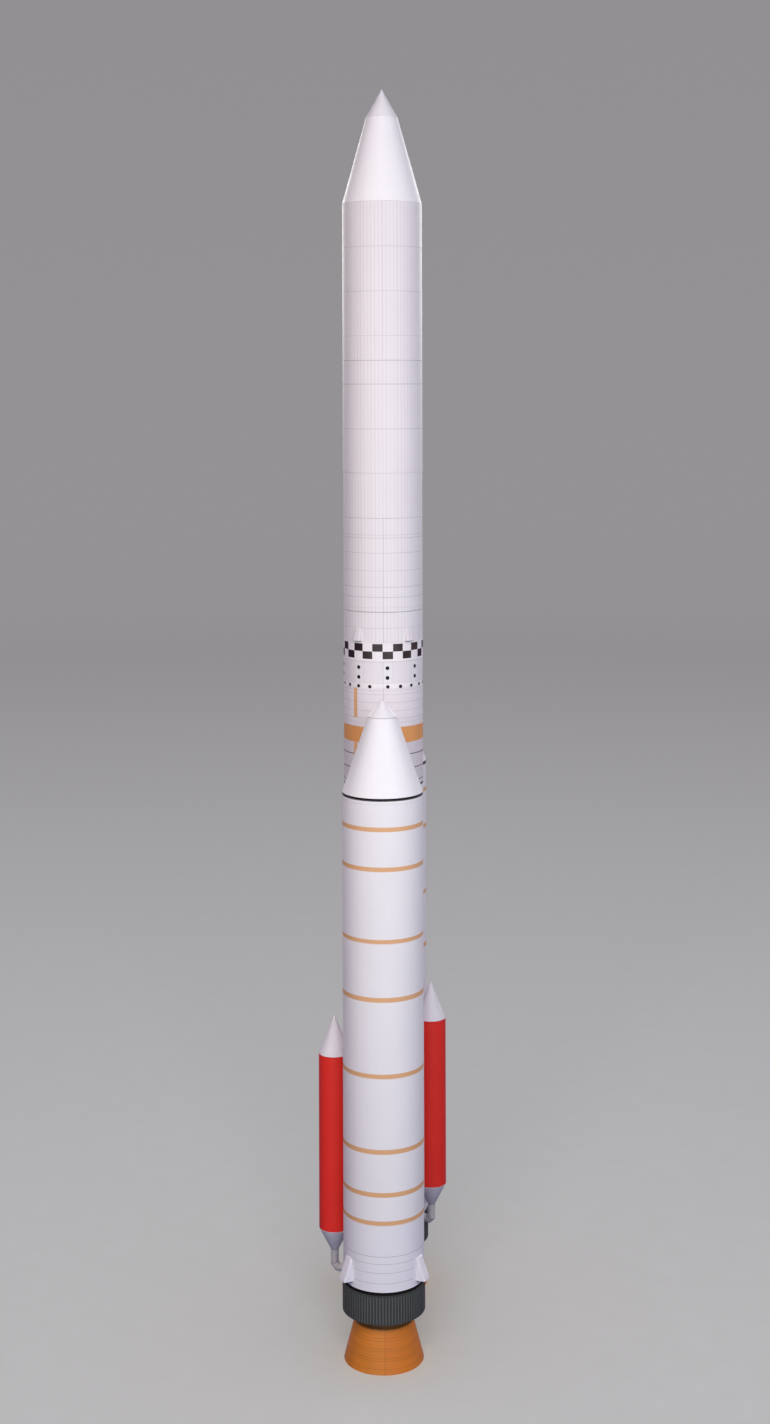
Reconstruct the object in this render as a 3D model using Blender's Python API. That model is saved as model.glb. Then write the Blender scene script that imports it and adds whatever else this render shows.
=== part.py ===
"""Card model of a space rocket, built as an assembly of glued card pieces.

A slender core stack with a long cylindrical payload fairing stands between two
strap-on boosters. Each booster carries a slim side tank whose feed pipe turns
into the booster's tail. The model stands on the rims of the two booster nozzles.

Units are metres and +Z is up. The origin is on the floor, under the middle of
the model's outline. The boosters stand before and behind the core along Y. Every
piece is a solid of its own, and the faces of glued pieces keep a gap of 0.3 mm.
"""
import math
from collections import namedtuple

import bmesh
import bpy
from mathutils import Vector

# Facets and gaps
GAP = 0.0003                  # between the faces of two glued pieces
SIDES = 48                    # facets round a large turned piece
SMALL_SIDES = 32              # facets round a tank or an engine
PIPE_RESOLUTION = 3           # bevel resolution of a feed pipe
SMOOTH_ANGLE = math.radians(30)

# Sizes and places of the tubes
BOOSTER_RADIUS = 0.03175      # body tube, 63.5 mm across
CORE_RADIUS = 0.03243         # core tube below the fairing's step
FAIRING_RADIUS = 0.03270      # fairing above the step
TANK_RADIUS = 0.01240
TANK_REACH = BOOSTER_RADIUS + GAP + TANK_RADIUS   # booster axis to tank axis
TIP_RADIUS = 0.0004           # the blunt end of a cone

# A booster's side and turn, and where its hand-glued tank sits on it: the angle
# from the booster's own -X direction towards the core, and a small lift
Booster = namedtuple("Booster", "prefix side turn tank_angle tank_lift")
FRONT = Booster("front_", -1, 0.0, math.radians(26.3), 0.0)
REAR = Booster("rear_", 1, math.pi, math.radians(36.5), 0.0012)

# Places of the axes. The tanks are the widest pieces, and BOOSTER_X centres them.
BOOSTER_Y = 0.06680           # booster axis to origin, along Y
BOOSTER_X = TANK_REACH * (math.cos(FRONT.tank_angle) - math.cos(REAR.tank_angle)) / 2
CORE_X = BOOSTER_X - 0.00174  # the core stands a little off the boosters' line
CORE_TURN = math.radians(2.4)      # turn of the core stack about its own axis

# Tail of a booster
NOZZLE_RIM_RADIUS = 0.03136
NOZZLE_NECK_RADIUS = 0.02103
NOZZLE_WALL = 0.0016
NOZZLE_ROOF = 0.0026          # thickness of the nozzle's closed top
RIBBED_RING_BOTTOM = 0.0389
RIBBED_RING_TOP = 0.0614
RIBBED_RING_RADIUS = 0.0325
RIB_COUNT = 84
RIB_DEPTH = 0.0004
RIB_SHARE = 0.55              # part of the pitch that a rib's crest takes
TAIL_STRIP_RADIUS = 0.0312
SKIRT_BOTTOM = 0.0640

# Wedge brackets on a booster's skirt, at angles from its outward direction
BRACKET_TURNS = (("left", math.radians(-55.7)), ("right", math.radians(62.6)))
BRACKET_BOTTOM = 0.0684
BRACKET_TOP = 0.0852
BRACKET_REACH = 0.0390        # booster axis to the bracket's outer edge
BRACKET_WIDTH = 0.0084        # along its outer edge
BRACKET_SEAT_WIDTH = 0.0108   # at the foot, along the skirt
BRACKET_TOP_WIDTH = 0.0075
BRACKET_LIP = 0.0005          # thickness of the bracket at its top

# Side tank of a booster, and its feed pipe
TANK_TAIL_BOTTOM = 0.0757
TANK_TUBE_BOTTOM = 0.0935
TANK_TUBE_TOP = 0.2320
TANK_TIP_HEIGHT = 0.2619
TANK_TAIL_RADIUS = 0.0032
PIPE_RADIUS = 0.0031
PIPE_RUN_HEIGHT = 0.0619      # axis of the pipe's level run
PIPE_BEND = 0.0027            # size of the mitred elbow

# Pads round the fairing's foot
PAD_ANGLE = math.radians(38.3)     # either side of the core's front and back
PAD_BOTTOM = 0.5573
PAD_HEIGHT = 0.0106
PAD_REACH = 0.0028            # how far a pad stands out at its foot
PAD_TOP_WIDTH = 0.0044
PAD_FOOT_WIDTH = 0.0058
PAD_LIP = 0.0004

# Engines of the core
ENGINE_SPACING = 0.0165       # engine axis to core axis, along X
ENGINE_RIM_HEIGHT = 0.0360
CORE_BASE_BOTTOM = 0.0788
CORE_BASE_RADIUS = 0.0300
ENGINE_WALL = 0.0011
BELL_POINTS = 4               # points of the outline that the hollow bell follows
ENGINE_OUTLINE = (            # radius of the outside, and height above the rim
    (0.0120, 0.0000),
    (0.0112, 0.0060),
    (0.0098, 0.0130),
    (0.0078, 0.0200),
    (0.0052, 0.0265),
    (0.0045, 0.0295),
    (0.0058, 0.0330),
)

# Fittings that join a booster to the core
FITTING_WIDTH = 0.0080
FITTING_HEIGHT = 0.0120
FITTING_PLACES = (("lower_fitting", 0.1000), ("upper_fitting", 0.4200))   # name, height

Colour = namedtuple("Colour", "red green blue roughness")
COLOURS = {
    "white_card": Colour(0.80, 0.77, 0.80, 0.42),
    "grey_card": Colour(0.62, 0.59, 0.62, 0.50),
    "black_card": Colour(0.02, 0.02, 0.022, 0.45),
    "tan_card": Colour(0.62, 0.30, 0.12, 0.50),
    "ribbed_card": Colour(0.055, 0.060, 0.060, 0.55),
    "nozzle_card": Colour(0.50, 0.16, 0.035, 0.45),
    "red_card": Colour(0.55, 0.022, 0.020, 0.40),
    "engine_card": Colour(0.20, 0.20, 0.21, 0.50),
}

# A turned piece of a stack: its ends' heights and its radius at each end
Turned = namedtuple("Turned", "name colour bottom top low_radius high_radius")

CORE_STACK = (
    Turned("core_base", "grey_card", CORE_BASE_BOTTOM, 0.0840, CORE_BASE_RADIUS, CORE_RADIUS),
    Turned("core_tube_lower", "white_card", 0.0840, 0.1820, CORE_RADIUS, CORE_RADIUS),
    Turned("core_tube_middle", "white_card", 0.1820, 0.3100, CORE_RADIUS, CORE_RADIUS),
    Turned("core_tube_upper", "white_card", 0.3100, 0.4386, CORE_RADIUS, CORE_RADIUS),
    Turned("interstage_tube", "grey_card", 0.4386, 0.4757, CORE_RADIUS, CORE_RADIUS),
    Turned("orange_band", "tan_card", 0.4757, 0.4882, CORE_RADIUS, CORE_RADIUS),
    Turned("upper_stage_tube", "grey_card", 0.4882, 0.5196, CORE_RADIUS, CORE_RADIUS),
    Turned("dotted_ring", "white_card", 0.5196, 0.5415, CORE_RADIUS, CORE_RADIUS),
    Turned("checker_ring", "white_card", 0.5415, 0.5565, CORE_RADIUS, CORE_RADIUS),
    Turned("fairing_foot", "white_card", 0.5565, 0.5815, CORE_RADIUS, CORE_RADIUS),
    Turned("fairing_tube_lower", "white_card", 0.5815, 0.6569, CORE_RADIUS, CORE_RADIUS),
    Turned("fairing_tube_middle", "white_card", 0.6569, 0.6931, CORE_RADIUS, CORE_RADIUS),
    Turned("fairing_tube_upper", "white_card", 0.6931, 0.7841, FAIRING_RADIUS, FAIRING_RADIUS),
    Turned("fairing_tube_top", "white_card", 0.7841, 0.9124, FAIRING_RADIUS, FAIRING_RADIUS),
    Turned("fairing_nose_cone", "white_card", 0.9124, 0.9833, FAIRING_RADIUS, 0.0130),
    Turned("fairing_nose_tip", "white_card", 0.9833, 1.0064, 0.0130, TIP_RADIUS),
)

BOOSTER_STACK = (
    Turned("tail_strip", "black_card", RIBBED_RING_TOP, SKIRT_BOTTOM,
           TAIL_STRIP_RADIUS, TAIL_STRIP_RADIUS),
    Turned("skirt", "white_card", SKIRT_BOTTOM, 0.1156, BOOSTER_RADIUS, BOOSTER_RADIUS),
    Turned("tube_lower", "white_card", 0.1156, 0.2288, BOOSTER_RADIUS, BOOSTER_RADIUS),
    Turned("tube_middle", "white_card", 0.2288, 0.3329, BOOSTER_RADIUS, BOOSTER_RADIUS),
    Turned("tube_upper", "white_card", 0.3329, 0.4433, BOOSTER_RADIUS, BOOSTER_RADIUS),
    Turned("collar", "black_card", 0.4433, 0.4448, BOOSTER_RADIUS, BOOSTER_RADIUS),
    Turned("nose_cone", "white_card", 0.4448, 0.5035, BOOSTER_RADIUS, 0.0115),
    Turned("nose_tip", "white_card", 0.5035, 0.5168, 0.0115, TIP_RADIUS),
)

TANK_STACK = (
    Turned("tank_tail", "white_card", TANK_TAIL_BOTTOM, TANK_TUBE_BOTTOM,
           TANK_TAIL_RADIUS, TANK_RADIUS),
    Turned("tank_tube", "red_card", TANK_TUBE_BOTTOM, TANK_TUBE_TOP, TANK_RADIUS, TANK_RADIUS),
    Turned("tank_nose", "white_card", TANK_TUBE_TOP, TANK_TIP_HEIGHT, TANK_RADIUS, TIP_RADIUS),
)


def clear_scene():
    """Remove every object of the scene."""
    for obj in list(bpy.data.objects):
        bpy.data.objects.remove(obj, do_unlink=True)


def make_materials():
    """Make one Principled material for each named colour."""
    materials = {}
    for name, colour in COLOURS.items():
        material = bpy.data.materials.new(name)
        material.use_nodes = True
        shader = material.node_tree.nodes["Principled BSDF"]
        shader.inputs["Base Color"].default_value = (colour.red, colour.green, colour.blue, 1.0)
        shader.inputs["Roughness"].default_value = colour.roughness
        shader.inputs["Metallic"].default_value = 0.0
        materials[name] = material
    return materials


def make_empty(name, location, turn=0.0, parent=None):
    """Add an empty that carries a group of pieces."""
    empty = bpy.data.objects.new(name, None)
    bpy.context.scene.collection.objects.link(empty)
    empty.location = location
    empty.rotation_euler.z = turn
    empty.parent = parent
    return empty


def make_object(name, bm, material, parent):
    """Turn a bmesh into a named object under its parent."""
    bmesh.ops.recalc_face_normals(bm, faces=bm.faces)
    mesh = bpy.data.meshes.new(name)
    bm.to_mesh(mesh)
    bm.free()
    mesh.materials.append(material)
    mesh.shade_smooth()
    mesh.set_sharp_from_angle(angle=SMOOTH_ANGLE)
    obj = bpy.data.objects.new(name, mesh)
    bpy.context.scene.collection.objects.link(obj)
    obj.parent = parent
    return obj


def turn_profile(profile, sides):
    """Spin a profile of (radius, height) points that starts and ends on the axis."""
    bm = bmesh.new()
    verts = [bm.verts.new((radius, 0.0, height)) for radius, height in profile]
    edges = [bm.edges.new(pair) for pair in zip(verts, verts[1:])]
    bmesh.ops.spin(bm, geom=verts + edges, cent=(0, 0, 0), axis=(0, 0, 1),
                   angle=2 * math.pi, steps=sides, use_merge=True)
    bmesh.ops.remove_doubles(bm, verts=bm.verts, dist=GAP / 10)
    return bm


def make_stack(prefix, stack, sides, materials, parent):
    """Make the turned pieces of a stack, each ending a gap below the next one."""
    for piece in stack:
        top = piece.top - GAP
        profile = ((0.0, piece.bottom), (piece.low_radius, piece.bottom),
                   (piece.high_radius, top), (0.0, top))
        make_object(prefix + piece.name, turn_profile(profile, sides),
                    materials[piece.colour], parent)


def make_nozzle(name, materials, parent):
    """Make a booster's nozzle: a cone that is open below and closed at its top."""
    top = RIBBED_RING_BOTTOM - GAP
    roof = top - NOZZLE_ROOF
    bore_rim = NOZZLE_RIM_RADIUS - NOZZLE_WALL
    bore_neck = bore_rim + (NOZZLE_NECK_RADIUS - NOZZLE_RIM_RADIUS) * roof / top
    profile = ((0.0, top), (NOZZLE_NECK_RADIUS, top), (NOZZLE_RIM_RADIUS, 0.0),
               (bore_rim, 0.0), (bore_neck, roof), (0.0, roof))
    make_object(name, turn_profile(profile, SIDES), materials["nozzle_card"], parent)


def make_ribbed_ring(name, materials, parent):
    """Make the ring round a booster's tail, with upright ribs all round."""
    bm = bmesh.new()
    pitch = 2 * math.pi / RIB_COUNT
    half_crest = pitch * RIB_SHARE / 2
    half_groove = pitch * (1 - RIB_SHARE) / 4
    outline = []
    for rib in range(RIB_COUNT):
        crest = rib * pitch
        groove = crest + pitch / 2
        for angle, radius in ((crest - half_crest, RIBBED_RING_RADIUS),
                              (crest + half_crest, RIBBED_RING_RADIUS),
                              (groove - half_groove, RIBBED_RING_RADIUS - RIB_DEPTH),
                              (groove + half_groove, RIBBED_RING_RADIUS - RIB_DEPTH)):
            place = (radius * math.cos(angle), radius * math.sin(angle), RIBBED_RING_BOTTOM)
            outline.append(bm.verts.new(place))
    foot = bm.faces.new(outline)
    raised = bmesh.ops.extrude_face_region(bm, geom=[foot])
    top_verts = [item for item in raised["geom"] if isinstance(item, bmesh.types.BMVert)]
    height = RIBBED_RING_TOP - GAP - RIBBED_RING_BOTTOM
    bmesh.ops.translate(bm, verts=top_verts, vec=(0.0, 0.0, height))
    bmesh.ops.triangulate(bm, faces=bm.faces)
    make_object(name, bm, materials["ribbed_card"], parent)


def make_wedge(name, section, widths, material, parent):
    """Make a wedge that looks along -Y, from its side section.

    The section's points are (reach, height), and each has a width of its own.
    """
    bm = bmesh.new()
    left, right = [], []
    for (reach, height), width in zip(section, widths):
        left.append(bm.verts.new((-width / 2, -reach, height)))
        right.append(bm.verts.new((width / 2, -reach, height)))
    bm.faces.new(left)
    bm.faces.new(reversed(right))
    for here in range(len(section)):
        after = (here + 1) % len(section)
        bm.faces.new((left[here], right[here], right[after], left[after]))
    bmesh.ops.triangulate(bm, faces=bm.faces)
    return make_object(name, bm, material, parent)


def make_brackets(prefix, materials, parent):
    """Make the two wedge brackets on a booster's skirt."""
    seat = BOOSTER_RADIUS + GAP
    section = ((BRACKET_REACH, BRACKET_BOTTOM), (seat, BRACKET_BOTTOM),
               (seat, BRACKET_TOP), (seat + BRACKET_LIP, BRACKET_TOP))
    widths = (BRACKET_WIDTH, BRACKET_SEAT_WIDTH, BRACKET_TOP_WIDTH, BRACKET_TOP_WIDTH)
    for side, turn in BRACKET_TURNS:
        bracket = make_wedge(f"{prefix}bracket_{side}", section, widths,
                             materials["white_card"], parent)
        bracket.rotation_euler.z = turn


def make_fairing_pads(materials, parent):
    """Make the four flared pads round the fairing's foot."""
    seat = CORE_RADIUS + GAP
    top = PAD_BOTTOM + PAD_HEIGHT
    section = ((seat + PAD_REACH, PAD_BOTTOM), (seat, PAD_BOTTOM),
               (seat, top), (seat + PAD_LIP, top))
    widths = (PAD_FOOT_WIDTH, PAD_FOOT_WIDTH, PAD_TOP_WIDTH, PAD_TOP_WIDTH)
    turns = (-PAD_ANGLE, PAD_ANGLE, math.pi - PAD_ANGLE, math.pi + PAD_ANGLE)
    for number, turn in enumerate(turns, start=1):
        pad = make_wedge(f"fairing_pad_{number}", section, widths,
                         materials["white_card"], parent)
        pad.rotation_euler.z = turn


def make_engines(materials, parent):
    """Make the core's two engines: a hollow bell, a throat and a chamber each."""
    chamber_top = CORE_BASE_BOTTOM - GAP - ENGINE_RIM_HEIGHT
    outside = list(ENGINE_OUTLINE) + [(ENGINE_OUTLINE[-1][0], chamber_top)]
    bore = [(radius - ENGINE_WALL, height) for radius, height in ENGINE_OUTLINE[:BELL_POINTS]]
    roof = bore[-1][1]
    profile = [(0.0, chamber_top)] + outside[::-1] + bore + [(0.0, roof)]
    for side, sign in (("left", -1), ("right", 1)):
        bm = turn_profile(profile, SMALL_SIDES)
        engine = make_object(f"core_engine_{side}", bm, materials["engine_card"], parent)
        engine.location = (sign * ENGINE_SPACING, 0.0, ENGINE_RIM_HEIGHT)


def make_pipe(name, reach, materials, parent):
    """Make a feed pipe: down from the tank, round a mitred elbow, and level."""
    route = ((0.0, TANK_TAIL_BOTTOM - GAP), (0.0, PIPE_RUN_HEIGHT + PIPE_BEND),
             (PIPE_BEND, PIPE_RUN_HEIGHT), (reach, PIPE_RUN_HEIGHT))
    curve = bpy.data.curves.new(name, "CURVE")
    curve.dimensions = "3D"
    curve.bevel_depth = PIPE_RADIUS
    curve.bevel_resolution = PIPE_RESOLUTION
    curve.use_fill_caps = True
    spline = curve.splines.new("POLY")
    spline.points.add(len(route) - 1)
    for point, (along, height) in zip(spline.points, route):
        point.co = (along, 0.0, height, 1.0)
    curve.materials.append(materials["white_card"])
    pipe = bpy.data.objects.new(name, curve)
    bpy.context.scene.collection.objects.link(pipe)
    pipe.parent = parent


def make_booster(booster, materials):
    """Make one booster, whose core side looks along its own +Y."""
    prefix = booster.prefix
    place = (BOOSTER_X, booster.side * BOOSTER_Y, 0.0)
    frame = make_empty(prefix + "booster", place, booster.turn)
    make_nozzle(prefix + "nozzle", materials, frame)
    make_ribbed_ring(prefix + "ribbed_ring", materials, frame)
    make_stack(prefix, BOOSTER_STACK, SIDES, materials, frame)
    make_brackets(prefix, materials, frame)

    tank_place = (-TANK_REACH * math.cos(booster.tank_angle),
                  TANK_REACH * math.sin(booster.tank_angle), booster.tank_lift)
    tank = make_empty(prefix + "tank", tank_place, -booster.tank_angle, frame)
    make_stack(prefix, TANK_STACK, SMALL_SIDES, materials, tank)
    make_pipe(prefix + "feed_pipe", TANK_REACH - RIBBED_RING_RADIUS - GAP, materials, tank)


def make_fittings(booster, materials):
    """Make the two fittings that fill the gap between a booster and the core."""
    core_axis = Vector((CORE_X, 0.0))
    booster_axis = Vector((BOOSTER_X, booster.side * BOOSTER_Y))
    outward = (booster_axis - core_axis).normalized()
    core_face = core_axis + outward * (CORE_RADIUS + GAP)
    booster_face = booster_axis - outward * (BOOSTER_RADIUS + GAP)
    middle = (core_face + booster_face) / 2
    depth = (booster_face - core_face).length
    turn = math.atan2(outward.y, outward.x) - math.pi / 2
    for name, height in FITTING_PLACES:
        bm = bmesh.new()
        bmesh.ops.create_cube(bm, size=1.0)
        bmesh.ops.scale(bm, vec=(FITTING_WIDTH, depth, FITTING_HEIGHT), verts=bm.verts)
        fitting = make_object(booster.prefix + name, bm, materials["white_card"], None)
        fitting.location = (middle.x, middle.y, height)
        fitting.rotation_euler.z = turn


def main():
    clear_scene()
    materials = make_materials()
    core = make_empty("core", (CORE_X, 0.0, 0.0), CORE_TURN)
    make_stack("", CORE_STACK, SIDES, materials, core)
    make_fairing_pads(materials, core)
    make_engines(materials, core)
    for booster in (FRONT, REAR):
        make_booster(booster, materials)
        make_fittings(booster, materials)


main()
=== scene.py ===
"""Looks of the card model of a space rocket: printed card, rolled and glued.

Each CAD piece is replaced by a finer one of the same size and in the same place,
with its printed lines, cut edges and lap seam. Sizes are metres, and heights are
above the floor. Angles round a tube are degrees from its front towards its right.
"""
import math
from collections import namedtuple

import bmesh
import bpy
from mathutils import Matrix, Vector


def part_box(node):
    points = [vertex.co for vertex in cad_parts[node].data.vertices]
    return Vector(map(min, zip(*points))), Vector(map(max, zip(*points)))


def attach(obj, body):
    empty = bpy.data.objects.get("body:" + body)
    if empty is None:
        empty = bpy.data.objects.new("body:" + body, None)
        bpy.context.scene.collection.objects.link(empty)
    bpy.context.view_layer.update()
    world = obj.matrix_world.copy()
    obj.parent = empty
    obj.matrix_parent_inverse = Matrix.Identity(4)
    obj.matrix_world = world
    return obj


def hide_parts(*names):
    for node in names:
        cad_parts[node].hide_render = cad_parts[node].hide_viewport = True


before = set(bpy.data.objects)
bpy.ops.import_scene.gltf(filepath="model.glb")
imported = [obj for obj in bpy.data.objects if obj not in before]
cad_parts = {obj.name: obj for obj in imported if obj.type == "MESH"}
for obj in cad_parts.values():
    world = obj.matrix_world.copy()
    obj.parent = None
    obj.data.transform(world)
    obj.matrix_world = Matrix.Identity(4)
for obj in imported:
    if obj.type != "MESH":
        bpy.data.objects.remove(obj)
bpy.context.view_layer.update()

BACK = 180.0  # the side of a tube that faces away from the camera

# Rolled card
LARGE_COLUMNS = 200  # facets round a body tube
SMALL_COLUMNS = 96  # facets round a side tank or an engine
CARD = 0.00028  # thickness of the card
EDGE = 0.00010  # rounding of a cut edge
LAP = 0.00018  # step at a lap seam
LAP_EASE = 26.0  # degrees over which the tucked end sinks
LAP_SLIT = 0.05  # degrees between the two ends at a seam
RIPPLE = 0.000018  # unevenness of a tube rolled by hand
RIPPLE_WAVES = ((5, 1.0), (12, 2.1), (23, 4.7))  # count round a tube, share of its phase
PHASE_PER_METRE = 100  # how fast the unevenness changes from piece to piece
REACH_UP = 0.00022  # part of the CAD's glue gap that a piece closes above it
SMOOTH_ANGLE = math.radians(30)
CLOSEST_COLUMNS = 0.12  # degrees
CLOSEST_ROWS = 0.00002
POINTED = 0.001  # a piece whose end has a smaller radius comes to a point
CAD_DIGITS = 6  # decimal places to which points of the CAD are compared

# Surface of printed card
GLOSS = 0.38  # specular level
SHEEN = 0.12  # pale rim of card seen edge on
SHEEN_ROUGHNESS = 0.30
CLOUD_SCALE = 35.0  # faint mottle
FIBRE_SCALE = 1400.0  # paper grain
POLISH_SCALE = 220.0  # patches with more or less shine
POLISH_SPREAD = (-0.05, 0.06)  # what they add to the roughness
RELIEF = 0.00003  # depth of the paper grain
NOISE_RANGE = (0.3, 0.7)  # where most values of a noise texture lie
FULL_RANGE = (0.0, 1.0)
STRIPE_COUNT = 66  # upright printed lines round the fairing
STRIPE_FADE = (0.06, 0.22)  # shares of the pitch between which a line fades out
STRIPE_STRENGTH = (0.06, 0.11)
PANEL_SEED = 0.37  # keeps the panels' random numbers apart from the lines'
PANEL_TONE = (0.985, 1.0)
FLOOR_GLOW = (0.205, 0.195, 0.14, 1.0)  # keeps it pale right up its backdrop

# Ribbed ring of a booster
RIB_COUNT = 84
RIB_DEPTH = 0.00045
RING_TOP_PAINTED_SHADOW = 0.0009  # painted shadow along its top, where the ribs' crests take the groove ink
RIB_RUN_OUT = 0.0012  # over which the ribs run out on its flat ends
RIB_PROFILE = (  # place in the rib's pitch, and depth below its crest
    (0.00, 0.0), (0.10, 0.0), (0.38, 0.0), (0.48, 0.0),
    (0.58, 0.8), (0.66, 1.0), (0.82, 1.0), (0.90, 0.8),
)

# Hollow nozzles and engine bells
NOZZLE_WALL = 0.0007
NOZZLE_THROAT = 0.0085
NOZZLE_ROOF = 0.0040  # from its closed top to the neck's end
NOZZLE_LID = 0.001  # thickness of its closed top
THROAT_TAPER = 0.0015  # by which the throat narrows up to the lid
BELL_WALL = 0.0005
BELL_HEIGHT = 0.0250  # how far up a bell is hollow
BELL_DOME = 0.0010  # rise of the hollow's closed end
BELL_TAPER = 0.0005
ENGINE_BANDS = (0.42, 0.46, 1.0)  # shares of a cone's height where each of its bands ends

# Folded card
FOLD = 0.0005  # size of a rounded fold
FOLD_SHARES = (0.0, 0.25, 0.5, 0.75, 1.0)
WEDGE_WALL = 0.00030
WEDGE_FOOT_BAND = 0.00055  # height of the band at a wedge's foot: on a bracket the pale cut edge, brightened as a painted highlight; under a pad a painted shadow
WEDGE_LEVELS = (0.25, 0.5, 0.75)
WEDGE_POCKET = (0.8, 0.5, 0.25, 0.0)  # levels of the hollow inside, from its end down
WEDGE_BACK_PART = 3  # how many times less its hollow is inset beside the tube
BACK_POINTS = 7  # points along the edge that lies on a tube
LAID_ON = 0.00002  # from a tube's surface to a piece glued on it
TAB_WIDTH = 0.00175
TAB_CARD = 0.00008

# Feed pipes
PIPE_RUN_HEIGHT = 0.0619  # of the level run's axis, at the front booster
PIPE_BEND = 0.0027  # size of the mitred elbow
PIPE_SIDES = 40
PIPE_JOINT = 0.00015  # half width of the line at a mitre
PIPE_GROOVE = 0.00010

# Camera, fitted to the photograph
PHOTO_HEIGHT = 1424  # pixels
HORIZON_ROW = 385  # pixels from the photograph's top
FOCAL_PIXELS = 1997.6
SENSOR_WIDTH = 36.0  # millimetres
CAMERA_AZIMUTH = math.radians(2.315)
CAMERA_DISTANCE = 1.6386
CAMERA_HEIGHT = 0.7640
CAMERA_AIM = math.radians(-0.073)
CAMERA_ROLL = math.radians(0.169)
CAMERA_SEAM = 2.4  # degrees by which the camera-facing seams are turned

Ink = namedtuple("Ink", "colour roughness pattern mottle grain bump gloss sheen glow",
                 defaults=(None, 0.012, 0.02, 0.25, GLOSS, SHEEN, None))
Print = namedtuple("Print", "ink bottom top left right", defaults=(None, None))
Column = namedtuple("Column", "angle lift")
Row = namedtuple("Row", "radius height share", defaults=(1,))
Ends = namedtuple("Ends", "bottom top low_radius high_radius")
Stand = namedtuple("Stand", "x y turn")
Level = namedtuple("Level", "height reach ramp seat")
Lamp = namedtuple("Lamp", "name place target size power colour")
Wedge = namedtuple("Wedge", "ink side_ink edge_ink fold outer_tab inner_tab tab_width")
Skin = namedtuple("Skin", "ink prints seam low_edge high_edge", defaults=((), BACK, None, None))


# Node materials

def fill(tree, node, inputs):
    """Set a node's inputs. Each is a value, or an output to link to it."""
    for name, value in inputs.items():
        if isinstance(value, bpy.types.NodeSocket):
            tree.links.new(value, node.inputs[name])
        else:
            node.inputs[name].default_value = value


def add_node(tree, kind, inputs, **settings):
    """Add a node with its inputs and settings."""
    node = tree.nodes.new("ShaderNode" + kind)
    for name, value in settings.items():
        setattr(node, name, value)
    fill(tree, node, inputs)
    return node


def calculate(tree, operation, *values):
    """Result of a Math node."""
    return add_node(tree, "Math", dict(enumerate(values)), operation=operation).outputs[0]


def noise(tree, place, scale, detail, stretch=(1.0, 1.0, 1.0)):
    """A noise texture over the object, stretched along its axes."""
    mapping = add_node(tree, "Mapping", {"Vector": place, "Scale": stretch})
    inputs = {"Vector": mapping.outputs["Vector"], "Scale": scale, "Detail": detail}
    return add_node(tree, "TexNoise", inputs).outputs[0]


def remap(tree, value, old_range, new_range, smooth=False):
    """Map a range of a value to a new one."""
    inputs = dict(zip(("From Min", "From Max", "To Min", "To Max"), old_range + new_range))
    inputs["Value"] = value
    interpolation = "SMOOTHSTEP" if smooth else "LINEAR"
    node = add_node(tree, "MapRange", inputs, interpolation_type=interpolation)
    return node.outputs["Result"]


def random_number(tree, value):
    """A random number for each whole value."""
    return add_node(tree, "TexWhiteNoise", {"W": value}, noise_dimensions="1D").outputs["Value"]


def fairing_stripes(tree, place):
    """Fine upright printed lines, each of its own darkness, with panels between."""
    axes = add_node(tree, "SeparateXYZ", {"Vector": place})
    angle = calculate(tree, "ARCTAN2", axes.outputs["X"], axes.outputs["Y"])
    turn = calculate(tree, "MULTIPLY_ADD", angle, 0.5 / math.pi, 0.5)
    steps = calculate(tree, "MULTIPLY", turn, STRIPE_COUNT)
    nearest = calculate(tree, "ROUND", steps)
    away = calculate(tree, "ABSOLUTE", calculate(tree, "SUBTRACT", steps, nearest))
    mask = remap(tree, away, STRIPE_FADE, (1.0, 0.0), smooth=True)
    strength = remap(tree, random_number(tree, nearest), FULL_RANGE, STRIPE_STRENGTH)
    line = calculate(tree, "SUBTRACT", 1.0, calculate(tree, "MULTIPLY", mask, strength))
    panel_seed = calculate(tree, "ADD", calculate(tree, "FLOOR", steps), PANEL_SEED)
    panel = remap(tree, random_number(tree, panel_seed), FULL_RANGE, PANEL_TONE)
    return calculate(tree, "MULTIPLY", line, panel)


def nozzle_fibres(tree, place):
    """Fine level streaks and slow changes of tone, as on the printed nozzle."""
    streaks = noise(tree, place, scale=60.0, detail=4.0, stretch=(1.0, 1.0, 26.0))
    slow = noise(tree, place, scale=30.0, detail=2.0, stretch=(1.0, 1.0, 3.0))
    fine = remap(tree, streaks, NOISE_RANGE, (0.94, 1.05))
    wide = remap(tree, slow, NOISE_RANGE, (0.95, 1.05))
    return calculate(tree, "MULTIPLY", fine, wide)


def tube_stripes(tree, place):
    """Very faint upright shading of the printed sheet."""
    shade = noise(tree, place, scale=24.0, detail=3.0, stretch=(1.0, 1.0, 0.06))
    return remap(tree, shade, NOISE_RANGE, (0.985, 1.01))


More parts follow.
